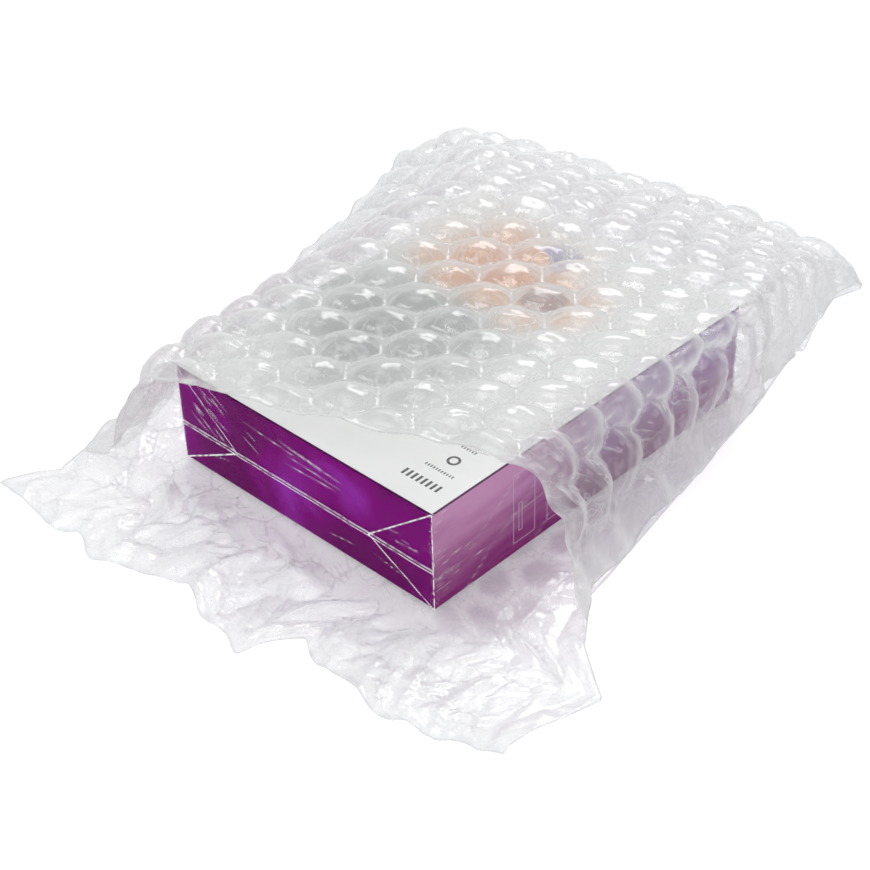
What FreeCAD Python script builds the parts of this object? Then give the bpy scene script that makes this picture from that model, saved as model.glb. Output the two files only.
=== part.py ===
"""A sealed retail carton in clear overwrap, lying in a folded sheet of inflated air-cushion film.

Millimetres, +Z up. The carton's short side lies along X and its long side along Y. The film runs
under the carton, folds over behind it and comes back over the top, a few degrees askew, so its
open mouth faces -Y and a limp, uninflated skirt lies on the ground in front. The origin is under
the middle of the whole pack, on the surface that it rests on.
"""
import FreeCAD
import Part
import Sketcher

import math
import os

SIZES = [
    ("carton_width", 234.0, "carton along X"),
    ("carton_length", 301.0, "carton along Y"),
    ("carton_height", 75.0, "carton along Z"),
    ("carton_edge", 0.8, "radius of the board's folded edges"),
    ("print_gauge", 0.3, "thickness of the printed layer on the carton's top"),
    ("wrap_gap", 0.1, "between the carton and its overwrap"),
    ("wrap_gauge", 0.2, "thickness of the overwrap"),
    ("tuck_depth", 56.0, "how far the tucked corners of the overwrap reach in along an end"),
    ("seam_level", 30.0, "height of the end seam above the carton's base"),
    ("seam_width", 2.4, "width of the end seam"),
    ("film_turn", 12.0, "degrees that the film lies askew, anticlockwise from above"),
    ("cell_pitch", 37.5, "distance between touching cells along the film"),
    ("cell_columns", 12.0, "columns of cells across the film"),
    ("cell_rise", 8.2, "how far an inflated cell swells to each side of its welds"),
    ("weld_gauge", 0.8, "thickness of the film at a weld"),
    ("left_selvage", 7.5, "flat strip along the film's left edge"),
    ("right_selvage", 22.5, "flat strip along the film's right edge"),
    ("lip_width", 7.0, "flat strip along the cut ends"),
    ("upper_pitches", 12.0, "length of the upper layer in cell pitches"),
    ("lower_pitches", 15.0, "length of the lower layer in cell pitches"),
    ("press_gauge", 3.0, "thickness of the film pressed flat under the carton"),
    ("lower_rise", 10.0, "height of the lower layer's free cells above the pressed film"),
    ("skirt_rise", 4.0, "height of the waves in the limp skirt"),
    ("rest_gap", 0.6, "clearance between the film and what it holds"),
    ("fold_line", 472.0, "distance of the back fold from the carton's front right corner"),
    ("fold_level", 29.0, "height of the upper layer where the back fold starts"),
    ("foot_level", 8.0, "height of the upper layer's side edges"),
    ("shoulder", 13.0, "how far outside the carton's sides the film starts to fall"),
    ("rear_shoulder", 24.0, "how far behind the carton the film starts to fall"),
]

# The print on the carton's top, from its front right corner. Discs are (label, centre x, centre y,
# radius), each printed over the ones before it. Rows of plain upright strokes are (left x, front y,
# stroke width, stroke height, number of strokes, pitch), and the ring is (x, y, outer, inner radius).
PRINT_DISCS = [("print_grey", -158.0, 134.0, 62.0), ("print_violet", -138.0, 262.0, 26.0),
               ("print_peach", -160.0, 232.0, 38.0), ("print_brown", -104.0, 218.0, 22.0)]
PRINT_STROKES = [(-43.0, 17.0, 2.0, 6.4, 8, 4.0), (-38.0, 33.0, 1.0, 2.4, 11, 2.2),
                 (-33.0, 60.0, 1.0, 2.4, 6, 2.2)]
PRINT_RING = (-26.5, 47.0, 4.6, 2.8)

# Outlines of the film in its own frame: x across it and y along it, from the carton's front right
# corner. Each is a list of (y, x), or for the two ends of (share of the width from the left, y).
LEFT_EDGE = [(-33.0, -320.0), (-8.0, -293.0), (40.0, -297.0), (300.0, -304.0), (472.0, -314.0)]
RIGHT_EDGE = [(-76.0, 97.0), (-17.0, 125.0), (15.0, 96.0), (60.0, 76.0), (300.0, 81.0), (472.0, 87.0)]
MOUTH_EDGE = [(0.0, 6.0), (0.3, 30.0), (0.7, 58.0), (0.9, 72.0), (1.0, 41.0)]
SKIRT_EDGE = [(0.0, -33.0), (0.25, -59.0), (0.41, -54.0), (0.57, -86.0), (0.63, -58.0), (0.84, -90.0),
              (1.0, -76.0)]


def make_sheet(doc):
    """The spreadsheet of driving dimensions, one named row for each."""
    sheet = doc.addObject("Spreadsheet::Sheet", "sizes")
    for row, (alias, value, note) in enumerate(SIZES, start=1):
        sheet.set("A%d" % row, note)
        sheet.set("B%d" % row, str(value))
        sheet.setAlias("B%d" % row, alias)
    doc.recompute()
    return sheet


# ---- carton -------------------------------------------------------------------------------------

def make_carton(doc):
    """The sealed carton: a padded rectangle with its edges rounded where the board folds."""
    body = doc.addObject("PartDesign::Body", "carton_body")
    ground = [plane for plane in body.Origin.OriginFeatures if plane.Role == "XY_Plane"][0]
    sketch = body.newObject("Sketcher::SketchObject", "carton_outline")
    sketch.AttachmentSupport = [(ground, "")]
    sketch.MapMode = "FlatFace"
    corners = [FreeCAD.Vector(x, y, 0) for x, y in ((-1, 0), (0, 0), (0, 1), (-1, 1))]
    for side in range(4):
        sketch.addGeometry(Part.LineSegment(corners[side], corners[(side + 1) % 4]))
    for side in range(4):
        sketch.addConstraint(Sketcher.Constraint("Coincident", side, 2, (side + 1) % 4, 1))
        sketch.addConstraint(Sketcher.Constraint("Vertical" if side % 2 else "Horizontal", side))
    sketch.addConstraint(Sketcher.Constraint("Coincident", 0, 2, -1, 1))
    width = sketch.addConstraint(Sketcher.Constraint("DistanceX", 0, 1, 0, 2, 1.0))
    length = sketch.addConstraint(Sketcher.Constraint("DistanceY", 1, 1, 1, 2, 1.0))
    sketch.setExpression("Constraints[%d]" % width, "sizes.carton_width")
    sketch.setExpression("Constraints[%d]" % length, "sizes.carton_length")
    pad = body.newObject("PartDesign::Pad", "carton_block")
    pad.Profile = sketch
    pad.setExpression("Length", "sizes.carton_height - sizes.print_gauge")
    doc.recompute()
    edges = body.newObject("PartDesign::Fillet", "carton_edges")
    edges.Base = (pad, ["Edge%d" % (number + 1) for number in range(len(pad.Shape.Edges))])
    edges.setExpression("Radius", "sizes.carton_edge")
    body.Tip = edges
    return body


def combine(doc, kind, name, base, tool):
    """A boolean of two objects."""
    result = doc.addObject(kind, name)
    result.Base = base
    result.Tool = tool
    return result


def make_column(doc, name, x, y, radius):
    """An upright cylinder taller than the carton, from which a printed disc is cut."""
    column = doc.addObject("Part::Cylinder", name)
    column.Radius = radius
    column.setExpression("Height", "2 * sizes.carton_height")
    column.Placement.Base = FreeCAD.Vector(x, y, 0)
    return column


def make_print(doc):
    """The printed layer on the carton's top: discs of colour and dark marks, and the white ground
    round them. They are let into one another, so the layer is flush all over."""
    layer = doc.addObject("Part::Box", "print_layer")
    layer.setExpression("Length", "sizes.carton_width - 2 * sizes.carton_edge")
    layer.setExpression("Width", "sizes.carton_length - 2 * sizes.carton_edge")
    layer.setExpression("Height", "sizes.print_gauge")
    layer.setExpression("Placement.Base.x", "sizes.carton_edge - sizes.carton_width")
    layer.setExpression("Placement.Base.y", "sizes.carton_edge")
    layer.setExpression("Placement.Base.z", "sizes.carton_height - sizes.print_gauge")
    columns = [make_column(doc, label + "_column", x, y, radius) for label, x, y, radius in PRINT_DISCS]
    strokes = []
    for left, front, width, height, count, pitch in PRINT_STROKES:
        for number in range(count):
            stroke = doc.addObject("Part::Box", "stroke")
            stroke.Length = width
            stroke.Width = height
            stroke.setExpression("Height", "2 * sizes.carton_height")
            stroke.Placement.Base = FreeCAD.Vector(left + number * pitch, front, 0)
            strokes.append(stroke)
    x, y, outer, inner = PRINT_RING
    ring = combine(doc, "Part::Cut", "ring", make_column(doc, "ring_outside", x, y, outer),
                   make_column(doc, "ring_inside", x, y, inner))
    marks = doc.addObject("Part::MultiFuse", "mark_columns")
    marks.Shapes = strokes + [ring]
    cutter = doc.addObject("Part::MultiFuse", "print_cutter")
    cutter.Shapes = columns + [marks]
    fields = {"print_white": combine(doc, "Part::Cut", "white_field", layer, cutter),
              "print_marks": combine(doc, "Part::Common", "mark_field", layer, marks)}
    for number, (label, *_) in enumerate(PRINT_DISCS):
        field = combine(doc, "Part::Common", label + "_disc", layer, columns[number])
        for later, column in enumerate(columns[number + 1:]):
            field = combine(doc, "Part::Cut", "%s_under_%d" % (label, later), field, column)
        fields[label] = field
    return fields


# ---- overwrap -----------------------------------------------------------------------------------

def make_box(doc, name, margin, edge):
    """A rounded box that stands off the carton by margin all round."""
    block = doc.addObject("Part::Box", name + "_block")
    for side, driver in (("Length", "carton_width"), ("Width", "carton_length"),
                         ("Height", "carton_height")):
        block.setExpression(side, "sizes.%s + 2 * (%s)" % (driver, margin))
    block.setExpression("Placement.Base.x", "-sizes.carton_width - (%s)" % margin)
    block.setExpression("Placement.Base.y", "-(%s)" % margin)
    block.setExpression("Placement.Base.z", "-(%s)" % margin)
    doc.recompute()
    rounded = doc.addObject("Part::Fillet", name)
    rounded.Base = block
    rounded.Edges = [(number + 1, edge, edge) for number in range(len(block.Shape.Edges))]
    return rounded


def make_end_folds(doc, sheet, name, front):
    """The envelope fold that closes one end: an upper and a lower flap over the tucked corners, and
    the raised seam across them."""
    edge = float(sheet.carton_edge)
    left = -float(sheet.carton_width)
    top = float(sheet.carton_height)
    depth = float(sheet.tuck_depth)
    level = float(sheet.seam_level)
    half_seam = float(sheet.seam_width) / 2
    gauge = float(sheet.wrap_gauge)
    skin = float(sheet.wrap_gap) + gauge
    face = -skin if front else float(sheet.carton_length) + skin
    outward = FreeCAD.Vector(0, -gauge if front else gauge, 0)
    meeting = [(left + depth, level), (-depth, level)]
    upper_flap = [(-edge, top - edge), (left + edge, top - edge)] + meeting
    lower_flap = [(-edge, edge), (left + edge, edge)] + meeting
    seam = [(x, level + rise) for x, rise in ((-edge, -half_seam), (left + edge, -half_seam),
                                              (left + edge, half_seam), (-edge, half_seam))]
    layers = []
    for line, gauges in ((lower_flap, 1), (upper_flap, 1), (seam, 2)):
        points = [FreeCAD.Vector(x, face, z) for x, z in line]
        layers.append(Part.Face(Part.makePolygon(points + points[:1])).extrude(outward * gauges))
    folds = doc.addObject("Part::Feature", name)
    folds.Shape = layers[0].fuse(layers[1:])
    return folds


def make_overwrap(doc, sheet):
    """The clear overwrap: a tight closed skin round the carton with an envelope fold at each end."""
    edge = float(sheet.carton_edge)
    skin = float(sheet.wrap_gap) + float(sheet.wrap_gauge)
    outer = make_box(doc, "wrap_outside", "sizes.wrap_gap + sizes.wrap_gauge", edge + skin)
    inner = make_box(doc, "wrap_inside", "sizes.wrap_gap", edge + float(sheet.wrap_gap))
    shell = doc.addObject("Part::Cut", "wrap_shell")
    shell.Base = outer
    shell.Tool = inner
    wrap = doc.addObject("Part::MultiFuse", "wrap")
    wrap.Shapes = [shell, make_end_folds(doc, sheet, "front_folds", True),
                   make_end_folds(doc, sheet, "back_folds", False)]
    return wrap


# ---- air-cushion film ---------------------------------------------------------------------------

def along(outline, value):
    """Reads an outline, a list of (argument, value), by straight lines between its points."""
    if value <= outline[0][0]:
        return outline[0][1]
    for (low, first), (high, last) in zip(outline, outline[1:]):
        if value <= high:
            return first + (last - first) * (value - low) / (high - low)
    return outline[-1][1]


def smooth_step(low, high, value):
    """0 below low, 1 above high and a smooth rise between them."""
    share = min(1.0, max(0.0, (value - low) / (high - low)))
    return share * share * (3.0 - 2.0 * share)


class FilmShape:
    """Where each point of the flat film lies. Points of the flat film are given by the share of the
    width from the left edge, and by the distance from the mouth in half pitches of the cells."""

    SHOULDER_BLEND = 4.0  # softness of the bend where the film leaves the level
    FOOT_BLEND = 3.0  # softness of the bend where it meets the ground
    PROFILE_STEPS = 60
    SLOPE_STEP = 0.5
    REAR_TAPER = 0.15  # how fast the level part narrows on the right, behind the carton
    NEAR_CARTON = (6.0, 40.0)  # distance outside the carton over which the pressed film comes free
    BEHIND_SKIRT = (40.0, 110.0)  # distance along the film over which the limp skirt fills out
    WAVE_ACROSS = 103.0
    WAVE_ALONG = 121.0
    WAVE_SLANT = 0.38
    WAVE_BEND = 2.3
    BEND_LENGTH = 146.0
    SLACK_CELLS = 0.45  # share of the skirt's height that its slack cells give

    def __init__(self, sheet):
        for alias, _, _ in SIZES:
            setattr(self, alias, float(sheet.get(alias)))
        self.turn = math.radians(self.film_turn)
        self.carton_base = self.press_gauge + self.rest_gap + self.wrap_gap + self.wrap_gauge
        wrap_top = self.carton_base + self.carton_height + self.wrap_gap + self.wrap_gauge
        self.top_level = wrap_top + self.rest_gap + self.cell_rise
        self.corner_radius = self.cell_pitch / math.sqrt(3.0)
        self.cells_width = (self.cell_columns * 1.5 + 0.5) * self.corner_radius
        self.width = self.left_selvage + self.cells_width + self.right_selvage
        self.fold_start = int(2 * self.upper_pitches)
        self.fold_end = self.fold_start + 2
        self.last = self.fold_end + int(2 * self.lower_pitches)

    def to_carton(self, x, y, z):
        """From the film's frame to the carton's, whose origin is its front right bottom corner."""
        return FreeCAD.Vector(x * math.cos(self.turn) - y * math.sin(self.turn),
                              x * math.sin(self.turn) + y * math.cos(self.turn), z)

    def outside_carton(self, x, y):
        """How far a point of the film's frame is outside the carton's footprint; 0 inside it."""
        point = self.to_carton(x, y, 0.0)
        beside = max(point.x, -self.carton_width - point.x, 0.0)
        beyond = max(-point.y, point.y - self.carton_length, 0.0)
        return math.hypot(beside, beyond)

    def is_pressed(self, point):
        """Whether a point given in the carton's frame lies on the film that the carton presses flat."""
        return (abs(point.z - self.press_gauge) < 1e-6
                and -self.carton_width <= point.x <= 0.0 <= point.y <= self.carton_length)

    def upper_height(self, x, y):
        """Height of the upper layer's middle: level over the carton, then straight falls to the sides
        and to the back fold, with rounded shoulders and feet."""
        tangent = math.tan(self.turn)
        across_carton = self.carton_width / math.cos(self.turn)
        right_rear = self.carton_length * math.cos(self.turn)
        left_front = self.carton_width * math.sin(self.turn)
        left_rear = left_front + right_rear
        taper = self.REAR_TAPER * max(0.0, y - right_rear)
        right_top = min(y, right_rear) * tangent + self.shoulder - taper
        left_top = max(left_front, min(y, left_rear)) * tangent - across_carton - self.shoulder
        rear_left = self.carton_length * math.sin(self.turn) - self.carton_width * math.cos(self.turn)
        rear_right = self.carton_length * math.sin(self.turn)
        back_top = (self.carton_length / math.cos(self.turn) + self.rear_shoulder
                    - max(rear_left, min(x, rear_right)) * tangent)
        side_fall = self.top_level - self.foot_level
        back_fall = self.top_level - self.fold_level
        falls = (0.0,
                 side_fall * (x - right_top) / (along(RIGHT_EDGE, y) - right_top),
                 side_fall * (left_top - x) / (left_top - along(LEFT_EDGE, y)),
                 back_fall * (y - back_top) / (self.fold_line - back_top))
        total = sum(math.exp(fall / self.SHOULDER_BLEND) for fall in falls)
        height = self.top_level - self.SHOULDER_BLEND * math.log(total)
        return self.foot_level + self.FOOT_BLEND * math.log(
            1.0 + math.exp((height - self.foot_level) / self.FOOT_BLEND))

    def upper_point(self, share, y):
        """The point of the upper layer's middle at a share of the film's width, measured over the
        ground that the film covers, and its normal."""
        left = along(LEFT_EDGE, y)
        step = (along(RIGHT_EDGE, y) - left) / self.PROFILE_STEPS
        heights = [self.upper_height(left + step * count, y) for count in range(self.PROFILE_STEPS + 1)]
        runs = [math.hypot(step, high - low) for low, high in zip(heights, heights[1:])]
        wanted = share * sum(runs)
        count = 0
        while count < len(runs) - 1 and wanted > runs[count]:
            wanted -= runs[count]
            count += 1
        x = left + step * (count + min(1.0, max(0.0, wanted / runs[count])))
        near = self.SLOPE_STEP
        lean_x = self.upper_height(x - near, y) - self.upper_height(x + near, y)
        lean_y = self.upper_height(x, y - near) - self.upper_height(x, y + near)
        size = math.hypot(lean_x, lean_y, 2 * near)
        return (x, y, self.upper_height(x, y)), (lean_x / size, lean_y / size, 2 * near / size)

    def skirt_wave(self, x, y):
        """The limp skirt's folds, from 0 in a trough to 1 on a crest."""
        bend = self.WAVE_BEND * math.sin(2 * math.pi * y / self.BEND_LENGTH)
        across = math.sin(2 * math.pi * x / self.WAVE_ACROSS + bend)
        return 0.5 + 0.5 * across * math.sin(2 * math.pi * (y + self.WAVE_SLANT * x) / self.WAVE_ALONG)

    def lower_top(self, x, y, swell):
        """Height of the lower layer's upper side, where swell is 1 at a cell's middle and 0 at a weld.
        It is pressed flat under the carton, limp in the skirt and full elsewhere."""
        free = smooth_step(*self.NEAR_CARTON, self.outside_carton(x, y))
        full = smooth_step(*self.BEHIND_SKIRT, y)
        firm = self.press_gauge + self.lower_rise * swell * full * free
        slack = 1.0 - self.SLACK_CELLS + self.SLACK_CELLS * swell
        limp = self.weld_gauge + self.skirt_rise * self.skirt_wave(x, y) * slack
        return firm + (limp - firm) * free * (1.0 - full)

    def place(self, share, row, swell, upward):
        """A point of the solid's skin. swell is how full the cell is there, and upward says which side
        of the film it is on, as seen in the upper layer."""
        share = min(1.0, max(0.0, share))
        thickness = self.weld_gauge / 2 + (self.cell_rise - self.weld_gauge / 2) * swell
        offset = thickness if upward else -thickness
        if row <= self.fold_start:
            travelled = row / self.fold_start
            y = along(MOUTH_EDGE, share) * (1.0 - travelled) + self.fold_line * travelled
            middle, normal = self.upper_point(share, y)
            return self.to_carton(*(m + n * offset for m, n in zip(middle, normal)))
        if row < self.fold_end:
            (x, y, z), _ = self.upper_point(share, self.fold_line)
            radius = (z - self.press_gauge) / 2
            angle = math.pi * (row - self.fold_start) / (self.fold_end - self.fold_start)
            reach = radius + offset
            height = self.press_gauge + radius + reach * math.cos(angle)
            return self.to_carton(x, y + reach * math.sin(angle), max(0.0, height))
        travelled = max(0.0, row - self.fold_end) / (self.last - self.fold_end)
        y = self.fold_line * (1.0 - travelled) + along(SKIRT_EDGE, share) * travelled
        x = along(LEFT_EDGE, y) * (1.0 - share) + along(RIGHT_EDGE, y) * share
        return self.to_carton(x, y, 0.0 if upward else self.lower_top(x, y, swell))


class FilmMesh:
    """The closed skin of the film: flat-topped hexagonal cells in staggered columns, each a fan of
    triangles, with flat strips along the four edges."""

    RING_SHARE = 0.6
    RING_SWELL = 0.74
    HALF_CELL_DEPTH = 0.4
    HALF_CELL_SWELL = 0.6

    def __init__(self, film):
        self.film = film
        self.points = []
        self.numbers = {}
        self.sides = {True: [], False: []}

    def vertex(self, column, row, swell, upward):
        """The number of the point at a lattice place, where column counts half corner radii."""
        key = (round(column, 3), round(row, 3), upward)
        if key not in self.numbers:
            across = self.film.left_selvage + column * self.film.corner_radius / 2
            self.numbers[key] = len(self.points)
            self.points.append(self.film.place(across / self.film.width, row, swell, upward))
        return self.numbers[key]

    def add(self, places, upward):
        """Adds a fan of triangles over places, each (column, row, swell), the first being its hub."""
        hub, *rim = [self.vertex(*place, upward) for place in places]
        for first, last in zip(rim, rim[1:]):
            self.sides[upward].append((hub, first, last) if upward else (hub, last, first))

    def whole_cell(self, column, row, upward, ringed):
        """A full cell: its middle, a ring part of the way out, and its six corners."""
        corners = [(2, 0), (1, 1), (-1, 1), (-2, 0), (-1, -1), (1, -1), (2, 0)]
        rim = [(column + x, row + y, 0.0) for x, y in corners]
        middle = (column, row, 1.0)
        if not ringed:
            self.add([middle] + rim, upward)
            return
        share = self.RING_SHARE
        ring = [(column + x * share, row + y * share, self.RING_SWELL) for x, y in corners]
        self.add([middle] + ring, upward)
        for side in range(6):
            self.add([ring[side], rim[side], rim[side + 1]], upward)
            self.add([ring[side], rim[side + 1], ring[side + 1]], upward)

    def half_cell(self, column, row, inward, upward):
        """The half of a cell that is left where a cut end crosses it."""
        middle = (column, row + self.HALF_CELL_DEPTH * inward, self.HALF_CELL_SWELL)
        rim = [(column + 2, row, 0.0), (column + 1, row + inward, 0.0), (column - 1, row + inward, 0.0),
               (column - 2, row, 0.0), (column + 2, row, 0.0)]
        self.add([middle] + (rim if inward > 0 else rim[::-1]), upward)

    def strip(self, inner, outer, upward):
        """A flat strip between two rows of places of the same length, anticlockwise along inner."""
        for first in range(len(inner) - 1):
            self.add([inner[first], outer[first], outer[first + 1]], upward)
            self.add([inner[first], outer[first + 1], inner[first + 1]], upward)

    def build(self):
        """All the cells and strips on both sides, then the edge that joins the two sides."""
        film = self.film
        columns = int(film.cell_columns)
        lip = film.lip_width / film.cell_pitch * 2
        left_end = -film.left_selvage * 2 / film.corner_radius
        right_end = left_end + film.width * 2 / film.corner_radius
        for upward in (True, False):
            for number in range(columns):
                column = 2 + 3 * number
                for row in range(1 - number % 2, film.last + 1, 2):
                    if row in (0, film.last):
                        self.half_cell(column, row, 1 if row == 0 else -1, upward)
                    else:
                        ringed = upward and row < film.fold_end or not upward and row > film.fold_end
                        self.whole_cell(column, row, upward, ringed)
            self.side_strips(left_end, right_end, columns, upward)
            self.end_strips(left_end, right_end, columns, lip, upward)
        self.close_edge()

    def side_strips(self, left_end, right_end, columns, upward):
        """The selvages: from the zigzag of the outermost cells to the film's straight edges."""
        rows = range(self.film.last + 1)
        left_zigzag = [(0 if row % 2 else 1, row, 0.0) for row in rows]
        last = 2 + 3 * (columns - 1)
        right_zigzag = [(last + (1 if (row + columns) % 2 else 2), row, 0.0) for row in rows]
        self.strip(left_zigzag[::-1], [(left_end, row, 0.0) for row in rows][::-1], upward)
        self.strip(right_zigzag, [(right_end, row, 0.0) for row in rows], upward)

    def end_strips(self, left_end, right_end, columns, lip, upward):
        """The lips along the two cut ends."""
        for row, outward in ((0, -lip), (self.film.last, lip)):
            whole = [2 + 3 * number + side for number in range(0, columns, 2) for side in (-1, 1)]
            line = [left_end] + whole + [3 * columns + 1, right_end]
            inner = [(column, row, 0.0) for column in line]
            outer = [(column, row + outward, 0.0) for column in line]
            turn = 1 if outward < 0 else -1
            self.strip(inner[::turn], outer[::turn], upward)

    def close_edge(self):
        """Joins the two sides along the film's edge with a narrow wall."""
        twin = {number: key for key, number in self.numbers.items()}
        used = {}
        for first, second, third in self.sides[True]:
            used.update({(first, second): True, (second, third): True, (third, first): True})
        for first, last in [pair for pair in used if pair[::-1] not in used]:
            under = [self.numbers[twin[number][:2] + (False,)] for number in (first, last)]
            self.sides[False].append((last, first, under[0]))
            self.sides[False].append((last, under[0], under[1]))


def outline(triangles):
    """The closed line of point numbers round a patch of triangles."""
    sides = {(triangle[side], triangle[(side + 1) % 3]) for triangle in triangles for side in range(3)}
    follows = {first: last for first, last in sides if (last, first) not in sides}
    line = [min(follows)]
    while follows[line[-1]] != line[0]:
        line.append(follows[line[-1]])
    if len(line) != len(follows):
        raise RuntimeError("a flat patch of the film has more than one outline")
    return line


def rounded(point):
    """A point as a plain triple that compares equal to its copies."""
    return tuple(round(value, 4) for value in point)


def flat_face(skin, corners, up):
    """One planar face that closes the gap in skin whose corners are given."""
    spots = [rounded(corner) for corner in corners]
    wanted = {frozenset(pair) for pair in zip(spots, spots[1:] + spots[:1])}
    rim = [edge for edge in skin.Edges
           if frozenset(rounded(vertex.Point) for vertex in edge.Vertexes) in wanted]
    face = Part.Face(Part.Wire(Part.__sortEdges__(rim)))
    if (face.normalAt(0, 0).z > 0) != up:
        face.reverse()
    return face


def make_film(doc, sheet):
    """The folded film: one closed solid. Its flat underside, and the top of the part that the carton
    presses flat, are single faces."""
    film = FilmShape(sheet)
    mesh = FilmMesh(film)
    mesh.build()
    ground, pressed, other = [], [], []
    for triangle in mesh.sides[True] + mesh.sides[False]:
        corners = [mesh.points[number] for number in triangle]
        if all(corner.z == 0.0 for corner in corners):
            ground.append(triangle)
        elif all(film.is_pressed(corner) for corner in corners):
            pressed.append(triangle)
        else:
            other.append(triangle)
    skin = Part.Shape()
    skin.makeShapeFromMesh((mesh.points, other), 0.001)
    faces = [flat_face(skin, [mesh.points[number] for number in outline(patch)], up)
             for patch, up in ((ground, False), (pressed, True))]
    feature = doc.addObject("Part::Feature", "film")
    feature.Shape = Part.Solid(Part.Shell(skin.Faces + faces))
    return feature


# ---- document -----------------------------------------------------------------------------------

def check(doc, pieces):
    """Stops if any object failed, or if a piece has no valid solid."""
    for thing in doc.Objects:
        if "Invalid" in thing.State or "Error" in thing.State:
            raise RuntimeError("%s failed: %s" % (thing.Label, thing.State))
    for piece in pieces:
        if piece.Shape.isNull() or not piece.Shape.isValid() or not piece.Shape.Solids:
            raise RuntimeError("%s has no valid solid" % piece.Label)


def main():
    doc = FreeCAD.newDocument("cushioned_carton")
    sheet = make_sheet(doc)
    held = {"carton": make_carton(doc), "overwrap": make_overwrap(doc, sheet)}
    held.update(make_print(doc))
    film = make_film(doc, sheet)
    doc.recompute()
    centre = film.Shape.BoundBox.Center
    middle = FreeCAD.Vector(-centre.x, -centre.y, 0)
    lift = FreeCAD.Vector(0, 0, FilmShape(sheet).carton_base)
    for label, piece in held.items():
        piece.Label = label
        piece.Placement = FreeCAD.Placement(middle + lift, FreeCAD.Rotation())
    film.Label = "cushion_film"
    film.Placement = FreeCAD.Placement(middle, FreeCAD.Rotation())
    doc.recompute()
    pieces = list(held.values()) + [film]
    check(doc, pieces)
    os.makedirs("parts", exist_ok=True)
    for piece in pieces:
        piece.Shape.exportStep("parts/%s.step" % piece.Label)
        box = piece.Shape.BoundBox
        print("%-14s %3d faces  volume %.0f  x %.1f..%.1f  y %.1f..%.1f  z %.1f..%.1f" % (
            piece.Label, len(piece.Shape.Faces), piece.Shape.Volume,
            box.XMin, box.XMax, box.YMin, box.YMax, box.ZMin, box.ZMax))


main()
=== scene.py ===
"""Looks of a sealed retail carton in clear overwrap, lying in a folded sheet of air-cushion film.

Metres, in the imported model's frame: +Z up, the film's open mouth faces -Y. The film's own frame lies
askew: x across the film and y along it, from the carton's front right bottom corner.
"""

import math

import bmesh
import bpy
import numpy as np
from mathutils import Matrix, Vector


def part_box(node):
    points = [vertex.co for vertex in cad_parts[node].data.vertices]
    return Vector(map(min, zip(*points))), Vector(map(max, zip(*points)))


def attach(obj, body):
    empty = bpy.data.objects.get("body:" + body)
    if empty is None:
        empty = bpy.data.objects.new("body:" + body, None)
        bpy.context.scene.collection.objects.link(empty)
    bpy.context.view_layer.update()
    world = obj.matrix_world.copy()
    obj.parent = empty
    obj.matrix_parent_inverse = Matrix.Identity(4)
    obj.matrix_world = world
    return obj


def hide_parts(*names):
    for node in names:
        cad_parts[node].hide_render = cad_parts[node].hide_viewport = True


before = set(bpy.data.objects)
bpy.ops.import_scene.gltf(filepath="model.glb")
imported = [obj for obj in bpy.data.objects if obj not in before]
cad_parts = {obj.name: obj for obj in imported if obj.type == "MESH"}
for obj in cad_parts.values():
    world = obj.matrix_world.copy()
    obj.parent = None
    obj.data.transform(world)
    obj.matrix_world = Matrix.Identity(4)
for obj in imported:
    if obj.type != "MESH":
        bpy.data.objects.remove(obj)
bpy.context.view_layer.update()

MM = 0.001
SEED = 41  # every group of random draws starts from this and a number of its own
SPARSE = 1.0

# ---- sizes that the CAD source has too ----

carton_low, carton_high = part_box("carton")
carton_high.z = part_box("print_white")[1].z  # the printed paper lies on the board
carton_width, carton_length, carton_height = carton_high - carton_low
CORNER = Vector((carton_high.x, carton_low.y, 0.0))  # where the film's frame and the carton's begin

TURN = math.radians(12.0)  # from the carton's frame to the film's
CELL_PITCH = 37.5 * MM  # from side to side, and from a cell to the next one along the film
CELL_COLUMNS = 12
CELL_RISE = 8.2 * MM  # of each skin off the film's middle
WELD_GAUGE = 0.8 * MM
LEFT_SELVAGE = 7.5 * MM
RIGHT_SELVAGE = 22.5 * MM
LIP_WIDTH = 7.0 * MM  # of the plain film at both ends
UPPER_ROWS = 24  # half pitches of the upper layer, of the back fold and of the lower layer
FOLD_ROWS = 2
LOWER_ROWS = 30
PRESS_GAUGE = 3.0 * MM  # of the film that the carton presses flat
LOWER_RISE = 10.0 * MM
SKIRT_RISE = 4.0 * MM
WRAP_STAND = 0.3 * MM  # how far the overwrap's outside stands off the carton
REST_GAP = 0.6 * MM  # between the overwrap's top and the film's cells
FOLD_LINE = 472.0 * MM  # where the back fold starts, and the upper layer's height there
FOLD_LEVEL = 29.0 * MM
FOOT_LEVEL = 8.0 * MM  # of the film's middle where its falls reach the ground
SHOULDER = 13.0 * MM  # how far past the carton's edge the falls begin
REAR_SHOULDER = 24.0 * MM
SHOULDER_BLEND = 4.0 * MM  # softness of the bends at the falls' tops and feet
FOOT_BLEND = 3.0 * MM
REAR_TAPER = 0.15  # how fast the level part narrows on the right, behind the carton
NEAR_CARTON = (6.0 * MM, 40.0 * MM)  # where the pressed film changes to free film
BEHIND_SKIRT = (40.0 * MM, 110.0 * MM)  # where the skirt changes to full cells
WAVE_ACROSS = 103.0 * MM  # lengths of the skirt's slow waves
WAVE_ALONG = 121.0 * MM
WAVE_SLANT = 0.38
WAVE_BEND = 2.3
BEND_LENGTH = 146.0 * MM

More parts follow.
